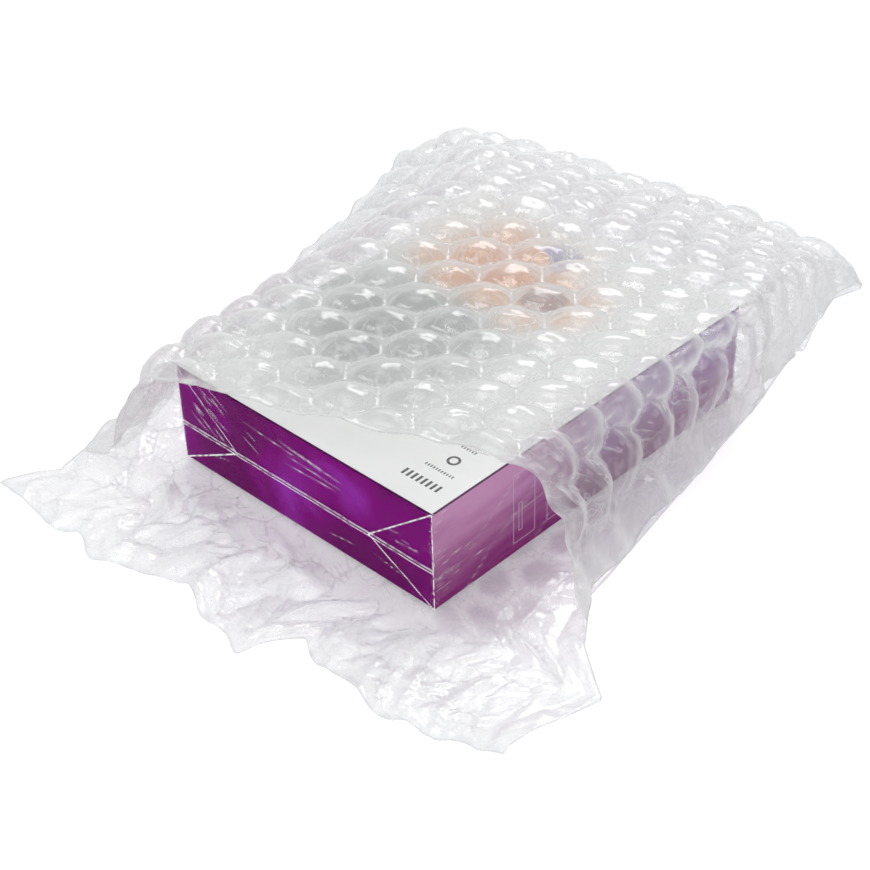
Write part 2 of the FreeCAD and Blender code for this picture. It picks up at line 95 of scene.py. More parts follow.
# Outlines of the film in its own frame, in millimetres: (y, x), or (share of the width, y). The CAD
# source's left edge has other last points, its right one lacks (350, 79) to (450, 75), and its mouth's
# left corner is at 6.
LEFT_EDGE = [(-33, -320), (-8, -293), (40, -297), (300, -306), (400, -314), (472, -327)]
RIGHT_EDGE = [(-76, 97), (-17, 125), (15, 96), (60, 76), (300, 81), (350, 79), (400, 77), (450, 75),
              (472, 87)]
MOUTH_EDGE = [(0.0, 22), (0.3, 30), (0.7, 58), (0.9, 72), (1.0, 41)]
SKIRT_EDGE = [(0.0, -33), (0.25, -59), (0.41, -54), (0.57, -86), (0.63, -58), (0.84, -90), (1.0, -76)]

CELL_RADIUS = CELL_PITCH / math.sqrt(3.0)
FILM_WIDTH = LEFT_SELVAGE + (CELL_COLUMNS * 1.5 + 0.5) * CELL_RADIUS + RIGHT_SELVAGE
TOP_LEVEL = carton_high.z + WRAP_STAND + REST_GAP + CELL_RISE
LAST_ROW = UPPER_ROWS + FOLD_ROWS + LOWER_ROWS
LIP_ROWS = LIP_WIDTH / CELL_PITCH * 2

# ---- sizes of the film that are the scene's own ----

FILM_STEP = 2.3 * MM  # between the points of its skins
CORNER_TUCK = 8.0 * MM  # how much closer it falls past the carton's front left corner,
TUCK_FADE = (50.0 * MM, 110.0 * MM)  # fading out along the film
LEFT_FOOT = [(-10, 26), (60, 24), (150, 11), (300, 10), (400, 4), (472, 0)]  # (y, ground inside the edge)
BACK_LIFT = [(-327, 12), (-250, 15), (-160, 13), (-80, 9), (-20, 6), (30, 0), (87, -6)]  # (x, rise)
LIMP_SHARE = (0.10, 0.22)  # the half-empty cells at the mouth's left corner fill up across the film,
LIMP_ROWS = (3.0, 7.0)  # and along it
LIMP_LOSS = 0.55
MOUTH_WAVE = (2.2 * MM, 45.0 * MM)  # the waves of its edges, each (rise, wavelength)
RIGHT_WAVE = (2.2 * MM, 70.0 * MM)
HEM_WAVE = (2.5 * MM, 40.0 * MM)
SLUMP = (1.6 * MM, 90.0 * MM)  # slow dents of the upper layer where it falls
FLUTTER = (2.6 * MM, 38.0 * MM)  # waves of its plain borders
CRUMPLES = ((16, 0.22 * MM, 11.0 * MM), (17, 0.14 * MM, 7.0 * MM))  # (seed, rise, wavelength)
BORDER_FADE = (5.0 * MM, 60.0 * MM)  # from the sheet's edge: where its sharp folds get fewer,
LIP_FADE = (-1.0 * MM, 9.0 * MM)  # where its white lip ends
BAND_FADE = (4.0 * MM, 24.0 * MM)  # and where the paler band beside the lip does
BEND_DROP = 6.0 * MM  # how far below the top the bends are whitest, and how wide that is
BEND_SPREAD = 7.0 * MM
SLACK_LEVEL = 1.6 * MM  # of the skirt between its waves, and how far its folds go below that
SLACK_DEPTH = 3.0 * MM
SLACK_WAVE = (0.4 * MM, 26.0 * MM)
LIMP_UP = 2.4 * MM  # how far the skirt's half-empty cells swell
LIMP_DOWN = 1.6 * MM
LOWEST_SKIN = 0.25 * MM  # the skins stay at least this high above the ground,
LOWEST_INNER = 0.9 * MM  # the upper layer's inner one this high
SKIRT_START = (UPPER_ROWS + FOLD_ROWS + 23) * CELL_PITCH / 2  # lengths along the flat sheet
SKIRT_END = (LAST_ROW + 1) * CELL_PITCH / 2
FOLDED_LENGTH = 1.02  # of the flat sheet, from the mouth, that has sharp folds at its borders

# ---- helpers ----


def smooth_step(low, high, value):
    """0 below low, 1 above high and a smooth rise between them."""
    share = np.clip((value - low) / (high - low), 0.0, 1.0)
    return share * share * (3.0 - 2.0 * share)


def reader(outline, by_share=False):
    """A function that reads an outline given in millimetres by straight lines between its points."""
    points = np.array(outline, float)
    points[:, 1] *= MM
    if not by_share:
        points[:, 0] *= MM
    return lambda value: np.interp(value, points[:, 0], points[:, 1])


left_edge = reader(LEFT_EDGE)
left_foot = reader(LEFT_FOOT)
right_edge = reader(RIGHT_EDGE)
back_lift = reader(BACK_LIFT)
mouth_edge = reader(MOUTH_EDGE, by_share=True)
skirt_edge = reader(SKIRT_EDGE, by_share=True)


class Folds:
    """Random sharp folds in flat film, ridges that fade out to both ends, between two corners of a
    field. Lengths, widths and heights are in millimetres, each as its least and its most."""

    def __init__(self, seed, count, low, high, heading, spread, lengths, widths, heights):
        rng = np.random.default_rng(seed)
        self.x = rng.uniform(low[0], high[0], count)
        self.y = rng.uniform(low[1], high[1], count)
        self.angle = heading + rng.normal(0.0, spread, count)
        self.length = rng.uniform(*lengths, count) * MM
        self.width = rng.uniform(*widths, count) * MM
        self.height = rng.uniform(*heights, count) * MM * rng.choice((1.0, 1.0, -0.6), count)

    def read(self, x, y):
        """Height of the folds, and how creased the film is there, from 0 to about 1."""
        height = np.zeros_like(x)
        crease = np.zeros_like(x)
        for cx, cy, angle, length, width, rise in zip(
                self.x, self.y, self.angle, self.length, self.width, self.height):
            ahead = ((x - cx) * math.cos(angle) + (y - cy) * math.sin(angle)) / length
            aside = np.abs((y - cy) * math.cos(angle) - (x - cx) * math.sin(angle))
            fade = np.clip(1.0 - ahead * ahead, 0.0, 1.0)
            height += rise * np.exp(-aside / width) * fade
            crease = np.maximum(crease, np.exp(-aside / (0.22 * width)) * fade)
        return height, crease


def ripple(seed, x, y, rise, wavelength, count=7):
    """Smooth random waves, up and down by about that rise, of about that wavelength."""
    rng = np.random.default_rng(seed)
    total = np.zeros_like(x)
    for _ in range(count):
        heading = rng.uniform(0.0, math.pi)
        number = 2.0 * math.pi / (wavelength * rng.uniform(0.7, 1.5))
        phase = rng.uniform(0.0, 2.0 * math.pi)
        total += np.sin(number * (x * math.cos(heading) + y * math.sin(heading)) + phase)
    return rise * total / math.sqrt(count)


# ---- how the film lies ----


def to_row(x, y, z):
    """From the film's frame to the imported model's."""
    return np.stack([CORNER.x + x * math.cos(TURN) - y * math.sin(TURN),
                     CORNER.y + x * math.sin(TURN) + y * math.cos(TURN), z], axis=-1)


def outside_carton(x, y):
    """How far points of the film's frame are outside the carton's footprint; 0 inside it."""
    place = to_row(x, y, np.zeros_like(x))
    beside = np.maximum(np.maximum(place[..., 0] - carton_high.x, carton_low.x - place[..., 0]), 0.0)
    beyond = np.maximum(np.maximum(place[..., 1] - carton_high.y, carton_low.y - place[..., 1]), 0.0)
    return np.hypot(beside, beyond)


def upper_height(x, y):
    """Height of the upper layer's middle: level over the carton, with straight falls to the sides and
    to the back fold."""
    tangent = math.tan(TURN)
    right_rear = carton_length * math.cos(TURN)
    left_front = carton_width * math.sin(TURN)
    taper = REAR_TAPER * np.maximum(0.0, y - right_rear)
    right_top = np.minimum(y, right_rear) * tangent + SHOULDER - taper
    left_top = (np.clip(y, left_front, left_front + right_rear) * tangent
                - carton_width / math.cos(TURN) - SHOULDER
                + CORNER_TUCK * (1.0 - smooth_step(*TUCK_FADE, y)))
    rear_right = carton_length * math.sin(TURN)
    rear_left = rear_right - carton_width * math.cos(TURN)
    back_top = carton_length / math.cos(TURN) + REAR_SHOULDER - np.clip(x, rear_left, rear_right) * tangent
    side_fall = TOP_LEVEL - FOOT_LEVEL
    back_fall = TOP_LEVEL - FOLD_LEVEL - back_lift(x)
    falls = (0.0 * x,
             side_fall * (x - right_top) / (right_edge(y) - right_top),
             side_fall * (left_top - x) / (left_top - left_edge(y) - left_foot(y)),
             back_fall * (y - back_top) / (FOLD_LINE - back_top))
    total = sum(np.exp(fall / SHOULDER_BLEND) for fall in falls)
    height = TOP_LEVEL - SHOULDER_BLEND * np.log(total)
    return FOOT_LEVEL + FOOT_BLEND * np.log1p(np.exp((height - FOOT_LEVEL) / FOOT_BLEND))


def upper_normal(x, y):
    """The upward direction square to the upper layer."""
    near = 0.6 * MM
    lean_x = (upper_height(x - near, y) - upper_height(x + near, y)) / (2 * near)
    lean_y = (upper_height(x, y - near) - upper_height(x, y + near)) / (2 * near)
    normal = np.stack([lean_x, lean_y, np.ones_like(x)], axis=-1)
    return normal / np.linalg.norm(normal, axis=-1, keepdims=True)


class AcrossMap:
    """Where a share of the film's width lies, measured over the ground that the upper layer covers."""

    ROWS = 220
    STEPS = 200

    def __init__(self):
        self.low = -30.0 * MM
        self.high = FOLD_LINE
        ys = np.linspace(self.low, self.high, self.ROWS)
        steps = np.linspace(0.0, 1.0, self.STEPS + 1)
        self.table = np.empty((self.ROWS, self.STEPS + 1))
        for number, y in enumerate(ys):
            x = left_edge(y) + (right_edge(y) - left_edge(y)) * steps
            height = upper_height(x, np.full_like(x, y))
            run = np.concatenate([[0.0], np.cumsum(np.hypot(np.diff(x), np.diff(height)))])
            self.table[number] = np.interp(steps * run[-1], run, x)

    def read(self, share, y):
        down = np.clip((y - self.low) / (self.high - self.low), 0.0, 1.0) * (self.ROWS - 1)
        over = np.clip(share, 0.0, 1.0) * self.STEPS
        row = np.minimum(down.astype(int), self.ROWS - 2)
        column = np.minimum(over.astype(int), self.STEPS - 1)
        down -= row
        over -= column
        low = self.table[row, column] * (1 - over) + self.table[row, column + 1] * over
        high = self.table[row + 1, column] * (1 - over) + self.table[row + 1, column + 1] * over
        return low * (1 - down) + high * down


# ---- air cells ----


class Cells:
    """The welded cells of the flat film, read on a grid: across in metres, row in half pitches."""

    ROUNDNESS = 8.0
    PUCKER = 1.5 * MM
    WELD = 0.955  # share of the way out at which the weld begins
    FAR_OUT = 9.0  # such a share beyond every cell

    def __init__(self, across, row):
        rng = np.random.default_rng(SEED)
        column = (across - LEFT_SELVAGE) * 2.0 / CELL_RADIUS
        length = row * CELL_PITCH / 2
        self.reach = np.full(across.shape, self.FAR_OUT)
        self.offset_x = np.zeros_like(across)
        self.offset_y = np.zeros_like(across)
        number = np.zeros(across.shape, int)
        first = np.clip(np.round((column - 2) / 3).astype(int), 0, CELL_COLUMNS - 1)
        for shift in (-1, 0, 1):
            home = np.clip(first + shift, 0, CELL_COLUMNS - 1)
            parity = (home + 1) % 2
            centre_row = np.clip(2 * np.round((row - parity) / 2) + parity, 0, LAST_ROW)
            dx = (column - 2 - 3 * home) * CELL_RADIUS / 2
            dy = length - centre_row * CELL_PITCH / 2
            reach = self.hex_reach(dx, dy)
            nearer = reach < self.reach
            self.reach = np.where(nearer, reach, self.reach)
            self.offset_x = np.where(nearer, dx, self.offset_x)
            self.offset_y = np.where(nearer, dy, self.offset_y)
            number = np.where(nearer, (home * (LAST_ROW + 1) + centre_row).astype(int), number)
        count = CELL_COLUMNS * (LAST_ROW + 1)
        self.fill = rng.normal(0.97, 0.09, count).clip(0.70, 1.07)[number]
        self.lean_x = rng.normal(0.0, 0.12, count)[number]
        self.lean_y = rng.normal(0.0, 0.12, count)[number]
        self.petals = rng.integers(7, 12, count)[number]
        self.phase = rng.uniform(0.0, 2 * math.pi, (3, count))[:, number]

    def hex_reach(self, dx, dy):
        """0 at a cell's middle and 1 at its welds, with the corners rounded off."""
        half = CELL_PITCH / 2
        slant = math.sqrt(3.0) / 2
        parts = (np.abs(dy), np.abs(dy * 0.5 + dx * slant), np.abs(dy * 0.5 - dx * slant))
        return sum((part / half) ** self.ROUNDNESS for part in parts) ** (1.0 / self.ROUNDNESS)

    def swell(self):
        """How far the skin stands off the weld: 1 at the middle of a full cell."""
        reach = np.clip(self.reach / self.WELD, 0.0, 1.0)
        dome = (1.0 - reach ** 2.3) ** 0.66
        lean = 1.0 + self.lean_x * self.offset_x / CELL_RADIUS + self.lean_y * self.offset_y / CELL_RADIUS
        return dome * self.fill * lean

    def puckers(self, shift):
        """Height of the radial gathers round the cell, deepest beside the weld. Shift moves them round
        the cell, so that its two skins differ."""
        angle = np.arctan2(self.offset_y, self.offset_x)
        first = self.petals * angle + self.phase[0] + shift
        wave = np.abs(np.sin(first / 2 + 0.35 * np.sin(2 * angle + self.phase[1])))
        uneven = 0.62 + 0.38 * np.sin(2 * angle + self.phase[2] + 1.7 * shift)
        rim = smooth_step(0.30, 0.80, self.reach) * (1.0 - smooth_step(0.88, 0.99, self.reach))
        return self.PUCKER * (wave - 0.7) * uneven * rim


# ---- the film's two skins ----

edge_folds = Folds(SEED + 1, 150, (0.0, 0.0), (FILM_WIDTH, FOLDED_LENGTH), math.pi / 2, 0.9,
                   (14, 42), (2.5, 6.0), (0.6, 1.8))
skirt_folds = Folds(SEED + 2, 120, (-0.01, SKIRT_START), (FILM_WIDTH + 0.01, SKIRT_END), 1.35, 0.55,
                    (25, 90), (3.0, 11.0), (1.0, 3.8))
skirt_wrinkles = Folds(SEED + 15, 300, (-0.01, SKIRT_START), (FILM_WIDTH + 0.01, SKIRT_END), 1.2, 1.1,
                       (8, 30), (1.5, 4.0), (0.4, 1.1))


def skin_offsets(across, row):
    """How far the two skins stand off the film's middle, how white the film is there and its folds."""
    cells = Cells(across, row)
    inside = (smooth_step(0.0, 2.0 * MM, across - LEFT_SELVAGE + 1 * MM)
              * smooth_step(0.0, 2.0 * MM, FILM_WIDTH - RIGHT_SELVAGE + 1 * MM - across)
              * smooth_step(-0.05, 0.1, row) * smooth_step(-0.05, 0.1, LAST_ROW - row))
    length = row * CELL_PITCH / 2
    near_side = np.minimum(across, FILM_WIDTH - across)
    near_end = np.minimum(length, LAST_ROW * CELL_PITCH / 2 - length)
    near_rim = np.minimum(near_side, near_end + LIP_WIDTH)
    border = 1.0 - smooth_step(*BORDER_FADE, np.minimum(near_side, near_end))
    lip = 1.0 - smooth_step(*LIP_FADE, near_rim)
    band = 1.0 - smooth_step(*BAND_FADE, near_rim)
    milky = np.maximum(lip, 0.5 * band) * (1.0 + ripple(SEED + 14, across, length, 0.5, 12 * MM))
    fold, crease = edge_folds.read(across, length)
    return {"swell": cells.swell() * inside,
            "outer": cells.puckers(0.0) * inside,
            "inner": cells.puckers(2.1) * inside,
            "fold": fold * (1.0 - 0.65 * inside) * (0.25 + 0.75 * border),
            "crease": np.maximum(crease * (0.2 + 0.8 * border), milky),
            "selvage": 1.0 - inside, "lip": lip, "length": length, "across": across}


def upper_layer(across_map, shares, rows):
    """The two skins of the upper layer and of the back fold, each as a grid of points."""
    share, row = np.meshgrid(shares, rows)
    skin = skin_offsets(share * FILM_WIDTH, row)
    limp = (1.0 - smooth_step(*LIMP_SHARE, share)) * (1.0 - smooth_step(*LIMP_ROWS, row))
    swell = skin["swell"] * (1.0 - LIMP_LOSS * limp)
    travelled = np.minimum(row / UPPER_ROWS, 1.0)
    y = mouth_edge(share) * (1.0 - travelled) + FOLD_LINE * travelled
    y = y + ripple(SEED + 5, skin["across"], row * 0.0, *MOUTH_WAVE) * (1 - smooth_step(0, 2, row))
    x = across_map.read(share, y)
    torn = smooth_step(0.90, 1.0, share) * smooth_step(60 * MM, 120 * MM, y)
    x = x + torn * np.maximum(0.0, RIGHT_WAVE[0] + ripple(SEED + 12, share * 0.0, y, *RIGHT_WAVE))
    height = upper_height(x, y)
    normal = upper_normal(x, y)
    around = np.clip((row - UPPER_ROWS) / FOLD_ROWS, 0.0, 1.0)
    folded = around > 0.0
    flat_x = left_edge(FOLD_LINE) * (1 - share) + right_edge(FOLD_LINE) * share
    radius = np.where(folded, (height - PRESS_GAUGE) / 2, 0.0)
    raised = (height - FOOT_LEVEL) / (TOP_LEVEL - FOOT_LEVEL)
    slump = ripple(SEED + 7, x, y, *SLUMP) * (1 - smooth_step(0.85, 1.0, raised))
    flutter = ripple(SEED + 8, x, y, *FLUTTER) * skin["selvage"]
    middle = skin["fold"] + (slump + flutter) * (1.0 - around)
    for seed, rise, wavelength in CRUMPLES:
        middle = middle + ripple(SEED + seed, skin["across"], skin["length"], rise, wavelength, 9)
    bend = np.exp(-((TOP_LEVEL - height - BEND_DROP) / BEND_SPREAD) ** 2) * (1.0 - around)
    skin["crease"] = np.maximum(skin["crease"], 0.40 * bend)
    skins = []
    for side, pucker, lowest in ((1.0, skin["outer"], LOWEST_SKIN), (-1.0, skin["inner"], LOWEST_INNER)):
        stand = WELD_GAUGE * 0.25 + (CELL_RISE - WELD_GAUGE * 0.25) * swell + pucker
        off = middle + side * stand
        reach = np.maximum(radius + off, 0.2 * MM)
        place_x = np.where(folded, x * (1 - around) + flat_x * around, x + normal[..., 0] * off)
        place_y = np.where(folded, FOLD_LINE + reach * np.sin(around * math.pi), y + normal[..., 1] * off)
        place_z = np.where(folded, PRESS_GAUGE + radius + reach * np.cos(around * math.pi),
                           height + normal[..., 2] * off)
        skins.append(to_row(place_x, place_y, np.maximum(place_z, lowest)))
    return skins, skin


def lower_layer(shares, rows):
    """The two skins of the lower layer, from the back fold to the end of the skirt. It is firm where it
    is pressed or full of air, and limp where the skirt lies free."""
    share, row = np.meshgrid(shares, rows)
    skin = skin_offsets(share * FILM_WIDTH, row)
    travelled = (row - UPPER_ROWS - FOLD_ROWS) / LOWER_ROWS
    hem = skirt_edge(share) + ripple(SEED + 9, skin["across"], row * 0.0, *HEM_WAVE)
    y = FOLD_LINE * (1.0 - travelled) + hem * travelled
    x = left_edge(y) * (1.0 - share) + right_edge(y) * share
    free = smooth_step(*NEAR_CARTON, outside_carton(x, y))
    full = smooth_step(*BEHIND_SKIRT, y)
    limp = free * (1.0 - full)
    airy = free * full
    bend = WAVE_BEND * np.sin(2 * math.pi * y / BEND_LENGTH)
    wave = 0.5 + 0.5 * np.sin(2 * math.pi * x / WAVE_ACROSS + bend) * np.sin(
        2 * math.pi * (y + WAVE_SLANT * x) / WAVE_ALONG)
    fold, crease = skirt_folds.read(skin["across"], skin["length"])
    wrinkle, sharp = skirt_wrinkles.read(skin["across"], skin["length"])
    slack = (SKIRT_RISE * wave + np.maximum(fold + wrinkle, -SLACK_DEPTH)
             + ripple(SEED + 10, x, y, *SLACK_WAVE) + SLACK_LEVEL)
    swell = skin["swell"]
    top_firm = PRESS_GAUGE * 0.95 + (LOWER_RISE * swell + skin["outer"]) * airy
    top_limp = slack + LIMP_UP * swell + 0.9 * skin["outer"]
    low_firm = 0.3 * MM + (PRESS_GAUGE - 0.8 * MM) * (1 - swell) * airy
    low_limp = slack - 0.3 * MM - LIMP_DOWN * swell + 0.9 * skin["inner"]
    low = np.maximum(low_firm + (low_limp - low_firm) * limp, LOWEST_SKIN)
    top = np.maximum(top_firm + (top_limp - top_firm) * limp, low + 0.2 * MM)
    crease = np.maximum(crease, 0.5 * sharp)
    skin["crease"] = np.maximum(skin["crease"] * (1 - limp * (1 - skin["lip"])), crease * limp)
    return [to_row(x, y, low), to_row(x, y, top)], skin


# ---- meshes ----


def grid_faces(rows, columns, start, flip):
    """The quads of a grid of points, numbered from start."""
    first = (np.arange(rows - 1)[:, None] * columns + np.arange(columns - 1)).ravel() + start
    quads = np.stack([first, first + 1, first + columns + 1, first + columns], axis=-1)
    return quads[:, ::-1] if flip else quads


def grid_rim(rows, columns):
    """The numbers of the points round a grid, in order."""
    front = np.arange(columns)
    right = np.arange(1, rows) * columns + columns - 1
    back = np.arange(columns - 2, -1, -1) + (rows - 1) * columns
    left = np.arange(rows - 2, 0, -1) * columns
    return np.concatenate([front, right, back, left])


def make_mesh(name, points, faces, **attributes):
    """A smooth mesh object with a value or vector of the given name on each point."""
    mesh = bpy.data.meshes.new(name)
    mesh.from_pydata(points.tolist(), [], faces.tolist())
    mesh.validate()
    for key, values in attributes.items():
        values = np.asarray(values, np.float32)
        kind, field = ("FLOAT_VECTOR", "vector") if values.ndim == 2 else ("FLOAT", "value")
        mesh.attributes.new(key, kind, "POINT").data.foreach_set(field, values.ravel())
    mesh.polygons.foreach_set("use_smooth", [True] * len(mesh.polygons))
    mesh.update()
    piece = bpy.data.objects.new(name, mesh)
    bpy.context.scene.collection.objects.link(piece)
    return piece


def film_piece(name, skins, skin, closed_ends):
    """One closed piece of film from its outer and inner skins. closed_ends says whether its first and
    its last row are cut ends; the other ends join the next piece."""
    outer, inner = skins
    rows, columns = outer.shape[:2]
    count = rows * columns
    points = np.concatenate([outer.reshape(-1, 3), inner.reshape(-1, 3)])
    rim = grid_rim(rows, columns)
    following = np.roll(rim, -1)
    keep = np.ones(len(rim), bool)
    for closed, edge in zip(closed_ends, (0, rows - 1)):
        if not closed:
            keep &= ~((rim // columns == edge) & (following // columns == edge))
    wall = np.stack([rim, rim + count, following + count, following], axis=-1)[keep]
    faces = np.concatenate([grid_faces(rows, columns, 0, False),
                            grid_faces(rows, columns, count, True), wall])
    flat = np.stack([skin["across"], skin["length"], np.zeros_like(skin["length"])], axis=-1).reshape(-1, 3)
    flat = np.concatenate([flat, flat + (0.0, 0.0, 1.0)])
    return make_mesh(name, points, faces, flat=flat, crease=np.tile(skin["crease"].ravel(), 2),
                     cell=np.tile(1.0 - skin["selvage"].ravel(), 2))


# ---- materials ----


class Nodes:
    """A short way to write the node tree of a new material or world."""

    def __init__(self, owner):
        self.owner = owner
        owner.use_nodes = True
        self.tree = owner.node_tree
        self.tree.nodes.clear()

    def add(self, kind, settings=(), **inputs):
        node = self.tree.nodes.new("ShaderNode" + kind)
        for key, value in dict(settings).items():
            setattr(node, key, value)
        for key, value in inputs.items():
            self.put(node, key, value)
        return node

    def put(self, node, key, value):
        """Sets an input, named with its spaces as underscores or given by number as _0, _1, ..."""
        socket = node.inputs[int(key[1:])] if key[0] == "_" else node.inputs[key.replace("_", " ")]
        if isinstance(value, bpy.types.Node):
            value = value.outputs[0]
        if isinstance(value, bpy.types.NodeSocket):
            self.tree.links.new(value, socket)
        elif isinstance(value, tuple) and len(value) == 3 and socket.type == "RGBA":
            socket.default_value = (*value, 1.0)
        else:
            socket.default_value = value

    def math(self, operation, first, second=0.0, third=0.0, clamp=False):
        return self.add("Math", {"operation": operation, "use_clamp": clamp}, _0=first, _1=second, _2=third)

    def product(self, first, *others):
        for other in others:
            first = self.math("MULTIPLY", first, other)
        return first

    def most(self, first, *others):
        for other in others:
            first = self.math("MAXIMUM", first, other)
        return first

    def rest(self, value):
        """1 less the value."""
        return self.math("SUBTRACT", 1.0, value)

    def scaled(self, value, factor, plus):
        """The value times factor, plus another value."""
        return self.math("MULTIPLY_ADD", value, factor, plus)

    def vector(self, operation, *values):
        node = self.add("VectorMath", {"operation": operation})
        for number, value in enumerate(values):
            self.put(node, "_%d" % number, value)
        return node

    def parts(self, vector):
        """The x, y and z of a vector."""
        return self.add("SeparateXYZ", Vector=vector).outputs

    def step(self, value, low, high):
        """0 at low, 1 at high, even where that is the lower one, and a smooth change between them."""
        return self.add("MapRange", {"interpolation_type": "SMOOTHSTEP"}, _0=value, _1=low, _2=high)

    def blend(self, share, first, second):
        """The first colour where share is 0, the second where it is 1."""
        return self.add("Mix", {"data_type": "RGBA"}, Factor=share, _6=first, _7=second).outputs[2]

    def attribute(self, name, output="Fac"):
        return self.add("Attribute", {"attribute_name": name}).outputs[output]

    def place(self):
        return self.add("TexCoord").outputs["Object"]

    def noise(self, scale, detail=3.0, roughness=0.55, distortion=0.0, vector=None):
        return self.add("TexNoise", Scale=scale, Detail=detail, Roughness=roughness, Distortion=distortion,
                        Vector=vector if vector is not None else self.place())

    def bump(self, strength, distance, height):
        return self.add("Bump", Strength=strength, Distance=distance, Height=height)

    def milk(self, through, colour, normal):
        """Cloudy white plastic that lets a share of the light through."""
        return self.add("MixShader", Fac=through, _1=self.add("BsdfDiffuse", Color=colour, Normal=normal),
                        _2=self.add("BsdfTranslucent", Color=colour, Normal=normal))

    def ramp(self, factor, *stops):
        """A colour ramp; each stop is (place, colour)."""
        node = self.add("ValToRGB", Fac=factor)
        elements = node.color_ramp.elements
        while len(elements) < len(stops):
            elements.new(0.5)
        for element, (place, colour) in zip(elements, stops):
            element.position = place
            element.color = (*colour, 1.0)
        return node

    def seen(self):
        """1 for the rays that show a surface or the world: seen directly, in gloss or through glass."""
        path = self.add("LightPath").outputs
        return self.most(path["Is Camera Ray"], path["Is Glossy Ray"], path["Is Transmission Ray"])

    def finish(self, shader, kind="OutputMaterial"):
        self.put(self.add(kind), "Surface", shader)
        return self.owner


def new_material(name):
    return Nodes(bpy.data.materials.new(name))


def cell_pattern(n):
    """The hexagon welds and the gathers round each cell, read from the film's flat coordinates: how far
    out a point is in its cell, a wave of sharp gathers that point to the cell's middle, and a number
    that each cell draws."""
    flat = n.attribute("flat", "Vector")
    half = (1.5 * CELL_RADIUS, CELL_PITCH / 2, 0.0)
    offsets = []
    for corner in ((LEFT_SELVAGE + CELL_RADIUS, CELL_PITCH / 2, 0.0),
                   (LEFT_SELVAGE + 2.5 * CELL_RADIUS, 0.0, 0.0)):
        moved = n.vector("SUBTRACT", flat, corner)
        offsets.append(n.vector("WRAP", moved, half, tuple(-side for side in half)))
    reach = [n.vector("LENGTH", offset).outputs["Value"] for offset in offsets]
    nearer = n.math("LESS_THAN", *reach)
    offset = n.add("Mix", {"data_type": "VECTOR"}, Factor=nearer, _4=offsets[1], _5=offsets[0]).outputs[1]
    slant = math.sqrt(3.0) / 2
    axes = ((0.0, 1.0, 0.0), (slant, 0.5, 0.0), (-slant, 0.5, 0.0))
    sides = [n.math("ABSOLUTE", n.vector("DOT_PRODUCT", offset, axis).outputs["Value"]) for axis in axes]
    share = n.product(n.most(*sides), 2.0 / CELL_PITCH)
    home = n.vector("SNAP", n.vector("SUBTRACT", flat, offset), (0.002, 0.002, 1.0))
    chance = n.add("SeparateColor", Color=n.add("TexWhiteNoise", Vector=home).outputs["Color"]).outputs
    across, along, _ = n.parts(offset)
    angle = n.math("ARCTAN2", along, across)
    petals = n.math("ROUND", n.scaled(chance[0], 5.0, 9.0))
    bent = n.scaled(n.noise(60.0, 0.0, 0.5, 0.0, flat), 7.0, n.product(chance[1], 40.0))
    wave = n.math("SINE", n.scaled(angle, petals, bent))
    crest = n.math("POWER", n.scaled(wave, 0.5, 0.5), 5.0)
    patch = n.step(n.noise(75.0, 0.0, 0.5, 0.0, flat), 0.42, 0.62)
    return share, n.product(crest, patch), chance[2]


# Painted shade: a dark colour factor with a lilac tint of bounce light, laid on the film beside the
# carton's right side.
PAINTED_SIDE_SHADE = (0.76, 0.72, 0.76)  # what the carton's right side leaves of the light on the film beside it


def painted_side_shade(n, place):
    """Painted shade: 1 on the ground beside the carton's front right corner, less further out, up and to
    the back.
    """
    x, y, z = n.parts(place)
    away = n.math("SUBTRACT", x, carton_high.x)
    along = n.math("SUBTRACT", y, carton_low.y)
    beside = n.product(n.step(away, -6 * MM, 4 * MM), n.step(away, 75 * MM, 20 * MM))
    beyond = n.product(n.step(along, -25 * MM, 20 * MM), n.step(along, 300 * MM, 80 * MM))
    low = n.scaled(n.step(z, 20 * MM, 80 * MM), -0.5, 1.0)
    return n.product(beside, beyond, low)


